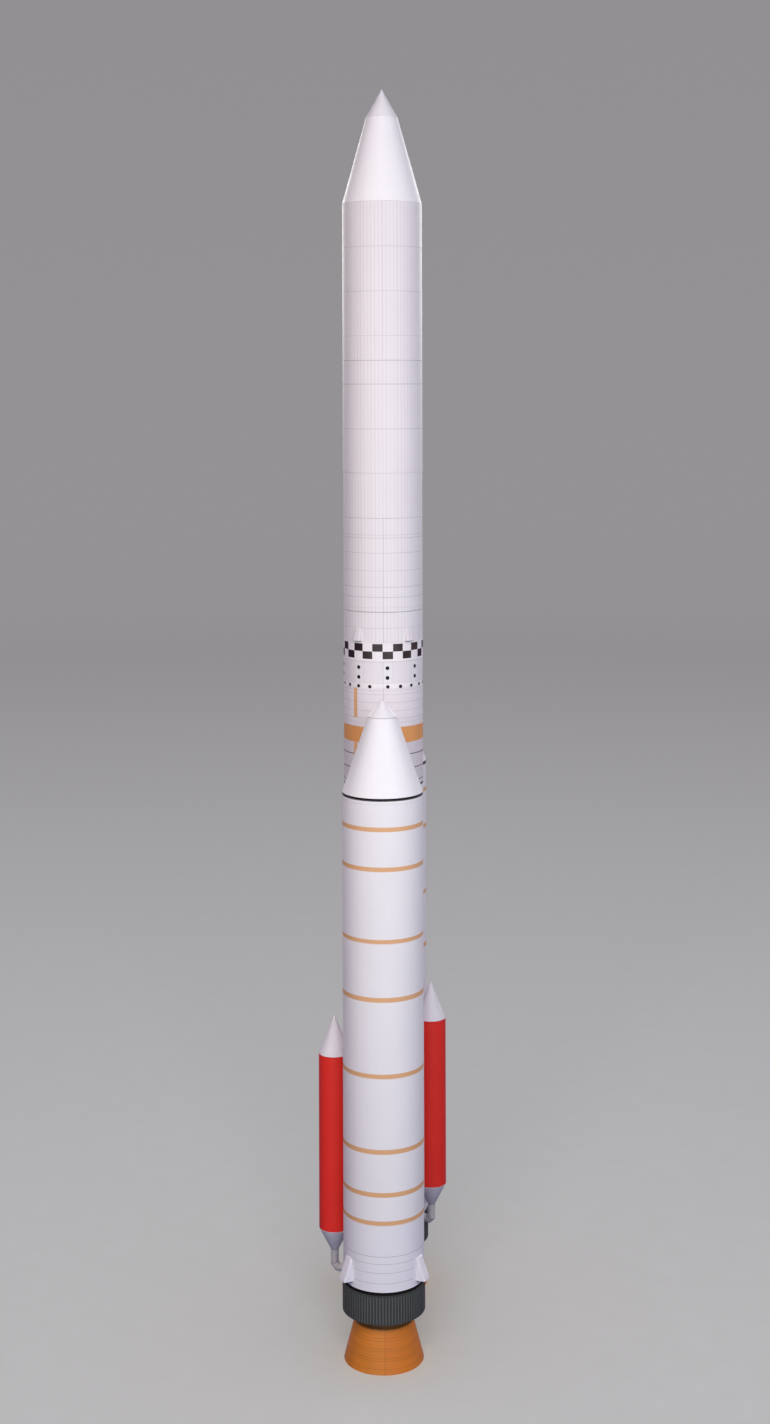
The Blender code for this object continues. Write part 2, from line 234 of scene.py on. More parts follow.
def make_ink(name, ink):
    """Material of printed card: paper grain, a faint mottle, and an uneven satin surface."""
    material = bpy.data.materials.new(name)
    material.use_nodes = True
    tree = material.node_tree
    place = add_node(tree, "TexCoord", {}).outputs["Object"]
    cloud = noise(tree, place, CLOUD_SCALE, detail=3.0)
    fibre = noise(tree, place, FIBRE_SCALE, detail=2.0)
    tone = remap(tree, cloud, NOISE_RANGE, (1.0 - ink.mottle, 1.0 + ink.mottle))
    speck = remap(tree, fibre, NOISE_RANGE, (1.0 - ink.grain, 1.0 + ink.grain))
    tone = calculate(tree, "MULTIPLY", tone, speck)
    if ink.pattern:
        tone = calculate(tree, "MULTIPLY", tone, ink.pattern(tree, place))
    paint = add_node(tree, "VectorMath", {"Vector": ink.colour, "Scale": tone}, operation="SCALE")
    polish = noise(tree, place, POLISH_SCALE, detail=3.0)
    roughness = tuple(ink.roughness + change for change in POLISH_SPREAD)
    relief = add_node(tree, "Bump", {"Strength": ink.bump, "Distance": RELIEF, "Height": fibre})
    shader = tree.nodes["Principled BSDF"]
    fill(tree, shader, {
        "Base Color": paint.outputs["Vector"],
        "Roughness": remap(tree, polish, NOISE_RANGE, roughness),
        "Normal": relief.outputs["Normal"],
        "Specular IOR Level": ink.gloss,
        "Sheen Weight": ink.sheen,
        "Sheen Roughness": SHEEN_ROUGHNESS,
    })
    if ink.glow:
        fill(tree, shader, {"Emission Color": ink.glow, "Emission Strength": 1.0})
    return material


INK_TABLE = {  # every finish of the model
    "cone_white": Ink((0.86, 0.815, 0.85), 0.5),
    "tank_white": Ink((0.81, 0.75, 0.79), 0.52),
    "nose_white": Ink((0.91, 0.865, 0.89), 0.52),
    "body_white": Ink((0.84, 0.785, 0.82), 0.52, pattern=tube_stripes),
    "skirt_white": Ink((0.83, 0.775, 0.835), 0.55),
    "tab_white": Ink((0.86, 0.8, 0.86), 0.55),
    # a tank's lower cone: its white card made greyer and cooler, painted shade on the underside
    "tail_white_painted_shade": Ink((0.7, 0.655, 0.715), 0.55),
    "pipe_beige": Ink((0.55, 0.505, 0.51), 0.6),
    "pipe_line": Ink((0.16, 0.14, 0.15), 0.65),
    "fairing_grey": Ink((0.8, 0.735, 0.77), 0.54, pattern=fairing_stripes),
    "panel_grey": Ink((0.775, 0.705, 0.745), 0.54),
    "strip_white": Ink((0.79, 0.735, 0.765), 0.54),
    "band_white": Ink((0.845, 0.78, 0.81), 0.52),
    "stage_grey": Ink((0.7, 0.635, 0.67), 0.54, pattern=tube_stripes),
    "stage_white": Ink((0.79, 0.725, 0.765), 0.54, pattern=tube_stripes),
    "stage_stripes": Ink((0.79, 0.725, 0.765), 0.54, pattern=fairing_stripes),
    "line_grey": Ink((0.3, 0.28, 0.3), 0.55),
    "line_soft": Ink((0.57, 0.52, 0.55), 0.55),
    "line_faint": Ink((0.52, 0.5, 0.53), 0.55),
    "line_dark": Ink((0.02, 0.018, 0.02), 0.5, gloss=0.2, sheen=0.0),
    "seam_grey": Ink((0.55, 0.51, 0.53), 0.55),
    "black": Ink((0.01, 0.008, 0.009), 0.5, gloss=0.15, sheen=0.0),
    "check_black": Ink((0.02, 0.007, 0.008), 0.4, gloss=0.56, sheen=0.0),
    "tan": Ink((0.75, 0.405, 0.205), 0.52),
    "orange": Ink((0.745, 0.325, 0.108), 0.52),
    "red": Ink((0.82, 0.027, 0.016), 0.5, mottle=0.03, pattern=tube_stripes),
    "red_line": Ink((0.45, 0.014, 0.01), 0.5),
    "nozzle": Ink((0.68, 0.208, 0.022), 0.5, pattern=nozzle_fibres),
    "nozzle_dark": Ink((0.65, 0.185, 0.019), 0.5, pattern=nozzle_fibres),
    "nozzle_line": Ink((0.4, 0.115, 0.016), 0.52),
    "nozzle_seam": Ink((0.5, 0.15, 0.02), 0.52),
    # the next two inks are painted shadow of the ribbed ring on a nozzle's neck
    "neck_painted_shadow_edge": Ink((0.41, 0.13, 0.016), 0.52),
    "neck_painted_shadow": Ink((0.21, 0.072, 0.011), 0.55),
    "nozzle_inside": Ink((0.1, 0.075, 0.06), 0.65, mottle=0.1),
    "rib_crest": Ink((0.1, 0.1, 0.094), 0.6, mottle=0.05),
    "rib_groove": Ink((0.042, 0.045, 0.043), 0.65, mottle=0.05),
    "engine": Ink((0.2, 0.2, 0.21), 0.55, mottle=0.04),
    "engine_light": Ink((0.42, 0.42, 0.44), 0.5, mottle=0.04),
    "engine_line": Ink((0.07, 0.07, 0.075), 0.55),
    "engine_inside": Ink((0.045, 0.045, 0.05), 0.65),
    # pale core of cut card, brighter than the white card, so that cut edges also carry a painted
    # highlight
    "cut": Ink((0.97, 0.89, 0.95), 0.6, grain=0.03),
    # a bracket's side faces: the bracket's white card made darker, painted shade
    "bracket_side_painted_shade": Ink((0.74, 0.69, 0.76), 0.55),
    # a pad's ramp and sides: the fairing's print made darker, painted shade
    "pad_painted_shade_grey": Ink((0.755, 0.69, 0.725), 0.54, pattern=fairing_stripes),
    "pad_side_painted_shade": Ink((0.71, 0.65, 0.685), 0.54),
    # near black inside a wedge's hollow: painted shade
    "pocket_painted_shade": Ink((0.06, 0.05, 0.06), 0.7),
    "inside": Ink((0.6, 0.56, 0.54), 0.7, grain=0.05),
    "floor": Ink((0.72, 0.76, 0.77), 0.75, bump=0.05, glow=FLOOR_GLOW),
}


# Meshes

class Form:
    """A closed mesh in the making, each face with the name of its ink."""

    def __init__(self):
        self.bm = bmesh.new()
        self.inks = []

    def point(self, place):
        """Add a point."""
        return self.bm.verts.new(place)

    def face(self, corners, ink):
        """Add a face with its ink."""
        if ink not in self.inks:
            self.inks.append(ink)
        face = self.bm.faces.new(corners)
        face.material_index = self.inks.index(ink)

    def make_mesh(self, name):
        """Turn the form into a mesh with its materials."""
        bmesh.ops.recalc_face_normals(self.bm, faces=self.bm.faces)
        mesh = bpy.data.meshes.new(name)
        self.bm.to_mesh(mesh)
        self.bm.free()
        for ink in self.inks:
            mesh.materials.append(INKS[ink])
        mesh.shade_smooth()
        mesh.set_sharp_from_angle(angle=SMOOTH_ANGLE)
        return mesh


def around(radius, angle, height):
    """The point at a radius, an angle and a height of a tube."""
    turn = math.radians(angle)
    return radius * math.sin(turn), -radius * math.cos(turn), height


def lathe(form, columns, rows, ink_of):
    """Turn rows round the axis. ink_of(strip, middle angle) names a face's ink.

    The middle angle is None between the last column and the first one.
    """
    rings = []
    for row in rows:
        if row.radius == 0.0:
            rings.append([form.point((0.0, 0.0, row.height))] * len(columns))
        else:
            rings.append([form.point(around(row.radius + row.share * column.lift,
                                            column.angle, row.height))
                          for column in columns])
    for strip, (below, above) in enumerate(zip(rings, rings[1:])):
        for here, column in enumerate(columns):
            after = (here + 1) % len(columns)
            middle = (column.angle + columns[after].angle) / 2 if after else None
            corners = (below[here], below[after], above[after], above[here])
            form.face(list(dict.fromkeys(corners)), ink_of(strip, middle))


def ripple(angle, phase):
    """How far a rolled tube sinks below its true radius at an angle."""
    turn = math.radians(angle)
    waves = sum(math.cos(count * turn + share * phase) for count, share in RIPPLE_WAVES)
    return -RIPPLE * (1 + waves / len(RIPPLE_WAVES))


def rolled_columns(count, seam, prints, phase):
    """Columns round a rolled tube, from its lap seam, with the edges of its prints."""
    cuts = {0.0}
    for item in prints:
        if item.left is not None:
            cuts.update(((item.left - seam) % 360, (item.right - seam) % 360))
    angles = sorted(cuts)
    for number in range(count):
        angle = 360.0 * number / count
        if min(abs(angle - cut) for cut in cuts) > CLOSEST_COLUMNS:
            angles.append(angle)
    columns = []
    for angle in sorted(angles):
        if angle > 360.0 - CLOSEST_COLUMNS:
            continue
        sunk = max(0.0, (angle - (360.0 - LAP_EASE)) / LAP_EASE)
        lift = ripple(angle, phase) - LAP * sunk * sunk
        columns.append(Column(seam + angle, lift))
    columns.append(Column(seam + 360.0 - LAP_SLIT, ripple(0.0, phase) - LAP))
    return columns


def printed_ink(prints, base, height, angle):
    """Ink of the last print that covers a place, or the base ink."""
    for item in reversed(prints):
        if not item.bottom < height < item.top:
            continue
        if item.left is None or (angle - item.left) % 360 < (item.right - item.left):
            return item.ink
    return base


def radius_at(ends, height):
    """Outer radius of a tube or cone at a height."""
    share = (height - ends.bottom) / (ends.top - ends.bottom)
    return ends.low_radius + share * (ends.high_radius - ends.low_radius)


def rolled(form, ends, skin, count):
    """A tube or cone of rolled card, closed at its ends, with its prints."""
    first, last = ends.bottom + EDGE, ends.top - EDGE
    heights = [first]
    edges = {edge for item in skin.prints for edge in (item.bottom, item.top)}
    for edge in sorted(edges):
        if heights[-1] + CLOSEST_ROWS < edge < last - CLOSEST_ROWS:
            heights.append(edge)
    heights.append(last)

    low, high = ends.low_radius, ends.high_radius
    rows = [Row(0.0, ends.bottom, 0), Row(max(low - CARD, low / 2), ends.bottom),
            Row(low - EDGE, ends.bottom)]
    skin_start = len(rows)
    rows += [Row(radius_at(ends, height), height) for height in heights]
    skin_stop = len(rows) - 1
    rows += [Row(high - EDGE, ends.top), Row(max(high - CARD, high / 2), ends.top),
             Row(0.0, ends.top, 0)]
    last_strip = len(rows) - 2

    def ink_of(strip, angle):
        if strip in (0, last_strip):
            return "inside"
        if strip in (1, last_strip - 1):
            return "cut"
        if strip < skin_start:
            return skin.low_edge or skin.ink
        if strip >= skin_stop:
            return skin.high_edge or skin.ink
        if angle is None:
            return "cut"
        middle = (rows[strip].height + rows[strip + 1].height) / 2
        return printed_ink(skin.prints, skin.ink, middle, angle)

    phase = PHASE_PER_METRE * ends.bottom
    lathe(form, rolled_columns(count, skin.seam, skin.prints, phase), rows, ink_of)


def loft(form, loops, ink_of, cap_inks):
    """Join closed loops of points, and close both ends. ink_of(strip, side) names an ink."""
    rings = [[form.point(place) for place in loop] for loop in loops]
    for strip, (below, above) in enumerate(zip(rings, rings[1:])):
        for here in range(len(below)):
            after = (here + 1) % len(below)
            form.face((below[here], below[after], above[after], above[here]),
                      ink_of(strip, here))
    for ring, ink in zip((rings[0], rings[-1]), cap_inks):
        form.face(ring, ink)


def rounded_corner(before, corner, after, size):
    """Points of a rounded fold between two straight sides."""
    start = corner + (before - corner).normalized() * size
    end = corner + (after - corner).normalized() * size
    return [start * (1 - share) ** 2 + corner * (2 * share * (1 - share)) + end * share ** 2
            for share in FOLD_SHARES]


def on_tube(radius, across):
    """How far out the surface of a tube is, at a distance across its middle."""
    return math.sqrt(radius * radius - across * across)


def wedge_loop(level, radius, inset, height, fold):
    """Outline of a folded wedge on a tube at one level, from its right seat round."""
    seat, ramp, reach = level.seat - inset, level.ramp - inset, level.reach - inset
    radius = radius + LAID_ON + inset / WEDGE_BACK_PART
    right_seat = Vector((seat, on_tube(radius, seat)))
    left_seat = Vector((-seat, right_seat.y))
    right, left = Vector((ramp, reach)), Vector((-ramp, reach))
    size = min(fold, (reach - right_seat.y) / 2)
    outline = [right_seat]
    outline += rounded_corner(right_seat, right, left, size)
    outline += rounded_corner(right, left, left_seat, size)
    outline.append(left_seat)
    for number in range(1, BACK_POINTS):
        across = seat * (2 * number / BACK_POINTS - 1)
        outline.append(Vector((across, on_tube(radius, across))))
    return [(point.x, -point.y, height) for point in outline]


# Places and sizes of the CAD pieces

def axis_of(node):
    """Where the axis of a turned CAD piece stands."""
    low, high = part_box(node)
    middle = (low + high) / 2
    return middle.x, middle.y


def outline_of(node):
    """Largest radius of a turned CAD piece at each height of its points."""
    x, y = axis_of(node)
    radii = {}
    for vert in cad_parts[node].data.vertices:
        height = round(vert.co.z, CAD_DIGITS)
        radius = math.hypot(vert.co.x - x, vert.co.y - y)
        radii[height] = max(radii.get(height, 0.0), radius)
    return sorted(radii.items())


def ends_of(node, reach_up=REACH_UP):
    """The ends of a turned CAD piece, with the glue gap above it nearly closed."""
    outline = outline_of(node)
    (bottom, low_radius), (top, high_radius) = outline[0], outline[-1]
    return Ends(bottom, top + reach_up, low_radius, high_radius)


def wedge_of(node, stand):
    """The turn of a CAD wedge about its tube's axis, and its lowest and highest level."""
    places = {tuple(round(value, CAD_DIGITS) for value in vert.co)
              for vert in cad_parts[node].data.vertices}
    points = [Vector((x - stand.x, y - stand.y)) for x, y, _ in places]
    outward = sum(points, Vector((0.0, 0.0))).normalized()
    sideways = Vector((-outward.y, outward.x))
    levels = []
    heights = sorted({place[2] for place in places})
    for height in (heights[0], heights[-1]):
        ring = [point for point, place in zip(points, places) if place[2] == height]
        reaches = [point.dot(outward) for point in ring]
        widths = [abs(point.dot(sideways)) for point in ring]
        middle = (min(reaches) + max(reaches)) / 2
        ramp = max(width for width, reach in zip(widths, reaches) if reach > middle)
        seat = max(width for width, reach in zip(widths, reaches) if reach < middle)
        levels.append(Level(height, max(reaches), ramp, seat))
    return math.atan2(outward.x, -outward.y), levels


def add_piece(form, stand, *nodes):
    """Add a form as the piece that stands for these CAD nodes."""
    name = nodes[0] + "_card"
    piece = bpy.data.objects.new(name, form.make_mesh(name))
    bpy.context.scene.collection.objects.link(piece)
    piece.location = (stand.x, stand.y, 0.0)
    piece.rotation_euler.z = stand.turn
    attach(piece, "root")
    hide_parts(*nodes)


def add_turned(node, stand, columns, rows, ink_of):
    """Replace a CAD piece by rows turned round its axis."""
    form = Form()
    lathe(form, columns, rows, ink_of)
    add_piece(form, stand, node)


def add_rolled(node, stand, skin, count, reach_up):
    """Replace a turned CAD piece by rolled card."""
    form = Form()
    rolled(form, ends_of(node, reach_up), skin, count)
    add_piece(form, stand, node)


# Printed patterns

def ring_lines(ink, table):
    """Thin level lines from a table of (height, width)."""
    return [Print(ink, height - width / 2, height + width / 2) for height, width in table]


def even_lines(ink, heights, width):
    """Thin level lines that are all as wide."""
    return ring_lines(ink, [(height, width) for height in heights])


def seam_line(width, ink="seam_grey", seam=0.0, bottom=0.0):
    """The cut end of the card that shows along a seam. Its width is in degrees."""
    return Print(ink, bottom, ABOVE_ALL, seam, seam + width)


ABOVE_ALL = 2.0  # a height above the whole model
FINE_SEAM = 0.35  # widths of seam lines, degrees
PLAIN_SEAM = 0.4
STRONG_SEAM = 0.7
FAIRING_LINES = (  # height, width
    (0.8759, 0.00040), (0.8398, 0.00037), (0.8038, 0.00029), (0.7648, 0.00062),
    (0.7286, 0.00044), (0.6432, 0.00033), (0.6408, 0.00044), (0.6287, 0.00040),
    (0.6144, 0.00033), (0.6012, 0.00046), (0.5931, 0.00048), (0.5847, 0.00020),
    (0.5682, 0.00029),
)
CHECK_LEVELS = (0.5434, 0.5495, 0.5556)
CHECK_COUNT = 24
CHECK_TURN = -1.0  # degrees
DOT_COLUMNS = (-37.8, 5.9, 51.7, 97.4, 143.2, 188.9, 234.0, 278.0)
DOT_ROWS = (0.5284, 0.5363)
DOT_STRIP = 6.9  # half width, degrees
DOT_STRIP_LINE = 0.12  # half width of the line at its edge, degrees
DOT_SIDES = 22
DOT_DEPTH = 0.00003  # how far a dot stands out of its tube, and reaches into it
DOT_RADIUS = 0.00156
SMALL_DOT_RUNS = ((6.3, 18.95, 10), (-19.8, -18.3, 9))  # first angle, step, count
SMALL_DOT_ROW = 0.5212
SMALL_DOT_RADIUS = 0.00142
DOT_BAND_TOP = 0.5240
DOT_RING_LINES = ((DOT_BAND_TOP, 0.00010), (0.5410, 0.00012))
TAN_STRIPE = (-47.4, -40.6)  # its left and right edge
TAN_STRIPE_TOP = 0.5196
ORANGE_OVER = 0.0004  # orange print above the orange band
UPPER_STAGE_LINES = (  # height, width
    (0.5181, 0.00026), (0.5149, 0.00031), (0.5085, 0.00035), (0.5017, 0.00035),
    (0.4956, 0.00040), (0.4922, 0.00026),
)
UPPER_STAGE_STRIPES_TOP = 0.4956
UPPER_STAGE_SEAM_BOTTOM = 0.5085
INTERSTAGE_LINES = ((0.4660, 0.00062), (0.4547, 0.00058), (0.4439, 0.00052))
INTERSTAGE_FAINT = (0.4725, 0.4625, 0.4590, 0.4510, 0.4475, 0.4405)
INTERSTAGE_FAINT_WIDTH = 0.00012
INTERSTAGE_FOOT = 0.0017  # height of the black line at its foot
JOINT_SHADES = (  # fairing piece, width of the dark line at its top joint
    ("fairing_tube_upper", 0.00028), ("fairing_tube_middle", 0.00014),
    ("fairing_tube_lower", 0.00026), ("fairing_foot", 0.00055),
)
LOWER_CORE_LINES = [0.09 + 0.0235 * number for number in range(16)]  # heights
LOWER_CORE_LINE_WIDTH = 0.00016
BASE_RINGS = (0.0060, 0.0063, 0.0205, 0.0208, 0.0272, 0.0275)  # edges of its printed rings
BOOSTERS = (("front_", 0.0), ("rear_", math.pi))  # prefix of its nodes, turn
BOOSTER_BANDS = (  # bottom, top
    (0.11525, 0.11895), (0.13735, 0.14095), (0.17045, 0.17410), (0.22845, 0.23220),
    (0.28765, 0.29130), (0.33255, 0.33600), (0.38840, 0.39185), (0.41920, 0.42265),
)
BOOSTER_LINE = (0.4400, 0.00016)
SKIRT_LINES = (0.0858, 0.0789, 0.0709)
SKIRT_LINE_WIDTH = 0.00036
SKIRT_TOP_LINE = (0.0915, 0.00045)
SKIRT_FOOT_BAND = 0.00060  # height of the pale band at the skirt's foot: its cut edge, with a painted highlight
COLLAR_LINES = {"front_": 0.00065, "rear_": 0.0013}  # black print below the collar
TIP_LINE = 0.00022  # grey line below a cone's tip
SKIRT_LINE_ENDS = ((-47.0, 49.0), (69.0, 291.0))  # left and right angle
NOZZLE_LINES = (0.0324, 0.0306, 0.0251, 0.0231, 0.0179, 0.0162, 0.0114, 0.0094, 0.0039)
NOZZLE_LINE_WIDTH = 0.00024
NOZZLE_NECK_PAINTED_SHADOW = (("neck_painted_shadow_edge", 0.0314), ("neck_painted_shadow", 0.0325))  # painted shadow of the ribbed ring on the nozzle's neck, in two steps: ink, bottom
PAD_COUNT = 4
# a pad: painted shade on its ramp and sides, a grey band at its foot as painted shadow under it,
# and a grey strip along its outer side as painted shade
PAD_LOOK = Wedge("pad_painted_shade_grey", "pad_side_painted_shade", "line_grey", 0.0006, "line_grey", "pad_side_painted_shade", 0.00035)
# a bracket: painted shade on its sides; its foot's pale cut edge carries a painted highlight
BRACKET_LOOK = Wedge("skirt_white", "bracket_side_painted_shade", "cut", FOLD, "tab_white", "tab_white",
                     TAB_WIDTH)


def checker_prints():
    """Two rows of black checks, half a pitch apart."""
    prints = []
    pitch = 360.0 / CHECK_COUNT
    for row, (bottom, top) in enumerate(zip(CHECK_LEVELS, CHECK_LEVELS[1:])):
        for number in range(row, CHECK_COUNT, 2):
            left = number * pitch + CHECK_TURN
            prints.append(Print("check_black", bottom, top, left, left + pitch))
    return prints


def dotted_prints(ends):
    """The pale strips and lines behind the dots, and the pale band below them."""
    prints = []
    for middle in DOT_COLUMNS:
        left, right = middle - DOT_STRIP, middle + DOT_STRIP
        prints.append(Print("strip_white", DOT_BAND_TOP, ends.top, left, right))
        for edge in (left, right):
            prints.append(Print("line_faint", DOT_BAND_TOP, ends.top,
                                edge - DOT_STRIP_LINE, edge + DOT_STRIP_LINE))
    prints.append(Print("band_white", ends.bottom, DOT_BAND_TOP))
    prints += ring_lines("line_grey", DOT_RING_LINES)
    return prints + [seam_line(FINE_SEAM, "line_faint")]


def add_dot(form, radius, angle, height, dot_radius):
    """A thin round dot that lies on a tube's surface and follows its curve."""
    middle = form.point(around(radius + DOT_DEPTH, angle, height))
    rims = []
    for depth in (-DOT_DEPTH, DOT_DEPTH):
        rim = []
        for number in range(DOT_SIDES):
            turn = 2 * math.pi * number / DOT_SIDES
            side = math.degrees(dot_radius * math.cos(turn) / radius)
            rim.append(form.point(around(radius + depth, angle + side,
                                         height + dot_radius * math.sin(turn))))
        rims.append(rim)
    under, over = rims
    form.face(under, "black")
    for here in range(DOT_SIDES):
        after = (here + 1) % DOT_SIDES
        form.face((under[here], under[after], over[after], over[here]), "black")
        form.face((over[here], over[after], middle), "black")


def add_dots(form, radius):
    """The dots of the strips and the band."""
    for angle in DOT_COLUMNS:
        for height in DOT_ROWS:
            add_dot(form, radius, angle, height, DOT_RADIUS)
    for first, step, count in SMALL_DOT_RUNS:
        for number in range(count):
            add_dot(form, radius, first + step * number, SMALL_DOT_ROW, SMALL_DOT_RADIUS)


# Pieces of the core

def core_skins():
    """The printed skin of each turned piece of the core."""
    fairing = ring_lines("line_soft", FAIRING_LINES)
    seamed = fairing + [seam_line(STRONG_SEAM)]
    tan_stripe = [Print("tan", 0.0, TAN_STRIPE_TOP, *TAN_STRIPE)]
    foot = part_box("upper_stage_tube")[0].z
    upper = [Print("stage_stripes", 0.0, UPPER_STAGE_STRIPES_TOP)]
    upper += ring_lines("line_soft", UPPER_STAGE_LINES)
    upper += [Print("tan", UPPER_STAGE_STRIPES_TOP, TAN_STRIPE_TOP, *TAN_STRIPE),
              seam_line(PLAIN_SEAM, "line_grey", bottom=UPPER_STAGE_SEAM_BOTTOM),
              Print("orange", foot, foot + ORANGE_OVER)]
    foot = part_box("interstage_tube")[0].z
    interstage = ring_lines("line_dark", INTERSTAGE_LINES)
    interstage += even_lines("line_faint", INTERSTAGE_FAINT, INTERSTAGE_FAINT_WIDTH)
    interstage += [Print("black", foot, foot + INTERSTAGE_FOOT)] + tan_stripe
    lower = even_lines("line_faint", LOWER_CORE_LINES, LOWER_CORE_LINE_WIDTH)
    lower += tan_stripe
    return {
        "core_tube_lower": Skin("body_white", lower),
        "core_tube_middle": Skin("body_white", lower),
        "core_tube_upper": Skin("body_white", lower),
        "interstage_tube": Skin("stage_grey", interstage),
        "orange_band": Skin("orange"),
        "upper_stage_tube": Skin("stage_white", upper),
        "dotted_ring": Skin("panel_grey", dotted_prints(ends_of("dotted_ring"))),
        "checker_ring": Skin("band_white", checker_prints()),
        "fairing_foot": Skin("fairing_grey", seamed, seam=0.0),
        "fairing_tube_lower": Skin("fairing_grey", seamed, seam=0.0),
        "fairing_tube_middle": Skin("fairing_grey", fairing),
        "fairing_tube_upper": Skin("fairing_grey", fairing),
        "fairing_tube_top": Skin("fairing_grey", fairing + [seam_line(PLAIN_SEAM)], seam=0.0),
        "fairing_nose_cone": Skin("nose_white", seam=0.0, low_edge="cut"),
        "fairing_nose_tip": Skin("nose_white"),
    }


def make_core(stand):
    """The turned pieces of the core, from its lowest tube to the tip of the fairing."""
    shades = dict(JOINT_SHADES)
    for node, skin in core_skins().items():
        ends = ends_of(node)
        if node in shades:
            shade = Print("line_grey", ends.top - shades[node], ends.top)
            skin = skin._replace(prints=skin.prints + [shade])
        if ends.high_radius < POINTED:
            ends = ends_of(node, 0.0)
        form = Form()
        rolled(form, ends, skin, LARGE_COLUMNS)
        if node == "dotted_ring":
            add_dots(form, ends.low_radius)
        add_piece(form, stand, node)


def make_core_base(node, stand):
    """The closed end of the core: a printed disc with a short skirt round it."""
    ends = ends_of(node)
    rows = [Row(radius, ends.bottom, 0) for radius in (0.0, *BASE_RINGS)]
    rows += [Row(ends.low_radius - EDGE, ends.bottom), Row(ends.low_radius, ends.bottom + EDGE),
             Row(ends.high_radius, ends.top - EDGE), Row(ends.high_radius - EDGE, ends.top),
             Row(0.0, ends.top, 0)]
    disc_strips = len(BASE_RINGS)

    def ink_of(strip, angle):
        if strip <= disc_strips:
            return "engine_line" if strip % 2 else "panel_grey"
        return "cut" if strip == disc_strips + 1 else "stage_grey"

    columns = rolled_columns(LARGE_COLUMNS, BACK, (), phase=1.0)
    add_turned(node, stand, columns, rows, ink_of)


def make_engine(node):
    """An engine of the core: a hollow bell with printed rings, a throat and a chamber."""
    stand = Stand(*axis_of(node), 0.0)
    outside = [point for point in outline_of(node) if point[1] > POINTED]
    rim, rim_radius = outside[0]
    bore = [Row(radius - BELL_WALL, max(height, rim + EDGE), 0)
            for height, radius in reversed(outside) if height - rim < BELL_HEIGHT]
    top = max(bore[0].height, rim + BELL_HEIGHT)
    rows = [Row(0.0, top + BELL_DOME, 0), Row(bore[0].radius - BELL_TAPER, top, 0)] + bore
    inks = ["engine_inside"] * (len(rows) - 1) + ["cut", "cut"]
    rows += [Row(rim_radius - BELL_WALL / 2, rim), Row(rim_radius, rim + EDGE)]
    for (low, low_radius), (high, high_radius) in zip(outside, outside[1:]):
        for share in ENGINE_BANDS:
            rows.append(Row(low_radius + share * (high_radius - low_radius),
                            low + share * (high - low)))
        inks += ["engine", "engine_line", "engine_light" if high - rim > BELL_HEIGHT else "engine"]
    rows.append(Row(0.0, rows[-1].height, 0))
    inks.append("cut")
    columns = rolled_columns(SMALL_COLUMNS, BACK, (), phase=2.0)
    add_turned(node, stand, columns, rows, lambda strip, angle: inks[strip])


# Folded pieces

def add_tabs(form, radius, seats, width, inks):
    """Thin strips glued to a tube at the left and right side of a piece, with their inks.

    Each of the two seats has its height and the piece's half width there.
    """
    tab = math.degrees(width / radius)
    for sign, ink in zip((-1, 1), inks):
        loops = []
        for height, half_width in seats:
            seat = math.degrees(math.asin(half_width / radius))
            left, right = sign * seat, sign * (seat + tab)
            angles = [left + (right - left) * share for share in (0.0, 0.5, 1.0)]
            outer = [around(radius + TAB_CARD, angle, height) for angle in angles]
            inner = [around(radius - LAID_ON, angle, height) for angle in reversed(angles)]
            loops.append(outer + inner)
        loft(form, loops, lambda strip, side: ink if side < 2 else "cut", ("cut", "cut"))


def make_wedge(node, stand, radius, look):
    """A wedge of folded card on a tube, hollow below, with a glued strip at each side."""
    turn, (low, high) = wedge_of(node, stand)

    def loop(share, inset, rise=0.0):
        level = Level(*(first + share * (last - first) for first, last in zip(low, high)))
        return wedge_loop(level, radius, inset, level.height + rise, look.fold)

    pocket_painted_shade = [loop(share, WEDGE_WALL) for share in WEDGE_POCKET]
    foot = [loop(0.0, EDGE / 2), loop(0.0, 0.0, EDGE), loop(0.0, 0.0, WEDGE_FOOT_BAND)]
    body = [loop(share, 0.0) for share in WEDGE_LEVELS]
    loops = pocket_painted_shade + foot + body + [loop(1.0, 0.0, -EDGE), loop(1.0, EDGE / 2)]
    pocket_stop = len(pocket_painted_shade) - 1
    foot_stop = pocket_stop + len(foot)
    folds_stop = 2 * len(FOLD_SHARES)

    def ink_of(strip, side):
        # inside the hollow: near black, painted shade
        if strip < pocket_stop or side > folds_stop:
            return "pocket_painted_shade"
        if strip < foot_stop:
            return look.edge_ink
        if strip == len(loops) - 2:
            return "cut"
        return look.ink if 1 <= side < folds_stop else look.side_ink

    form = Form()
    loft(form, loops, ink_of, ("pocket_painted_shade", "cut"))
    seats = ((low.height + EDGE, low.seat), (high.height, high.seat))
    inks = [look.outer_tab, look.inner_tab]
    if math.sin(2 * turn) > 0:
        inks.reverse()
    add_tabs(form, radius, seats, look.tab_width, inks)
    add_piece(form, Stand(stand.x, stand.y, turn), node)


def make_fitting(node, core_stand, booster_stand, core_radius, booster_radius):
    """A folded block between the core and a booster, with a glued strip at each side."""
    low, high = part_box(node)
    between = Vector((booster_stand.x - core_stand.x, booster_stand.y - core_stand.y))
    turn = math.atan2(between.x, -between.y)
    half = (high.x - low.x) / 2

    def loop(inset, height):
        width = half - inset
        places = [width * (2 * number / BACK_POINTS - 1) for number in range(BACK_POINTS + 1)]
        core_side = [(across, -on_tube(core_radius + LAID_ON, across), height)
                     for across in places]
        booster_side = [(across, on_tube(booster_radius + LAID_ON, across) - between.length,
                         height) for across in reversed(places)]
        return core_side + booster_side

    loops = [loop(EDGE, low.z), loop(0.0, low.z + EDGE), loop(0.0, high.z - EDGE),
             loop(EDGE, high.z)]
    form = Form()
    loft(form, loops, lambda strip, side: "skirt_white" if strip == 1 else "cut", ("cut", "cut"))
    seats = ((low.z + EDGE, half), (high.z - EDGE, half))
    add_tabs(form, core_radius, seats, TAB_WIDTH, ("tab_white", "tab_white"))
    add_piece(form, Stand(core_stand.x, core_stand.y, turn), node)


# Pieces of a booster

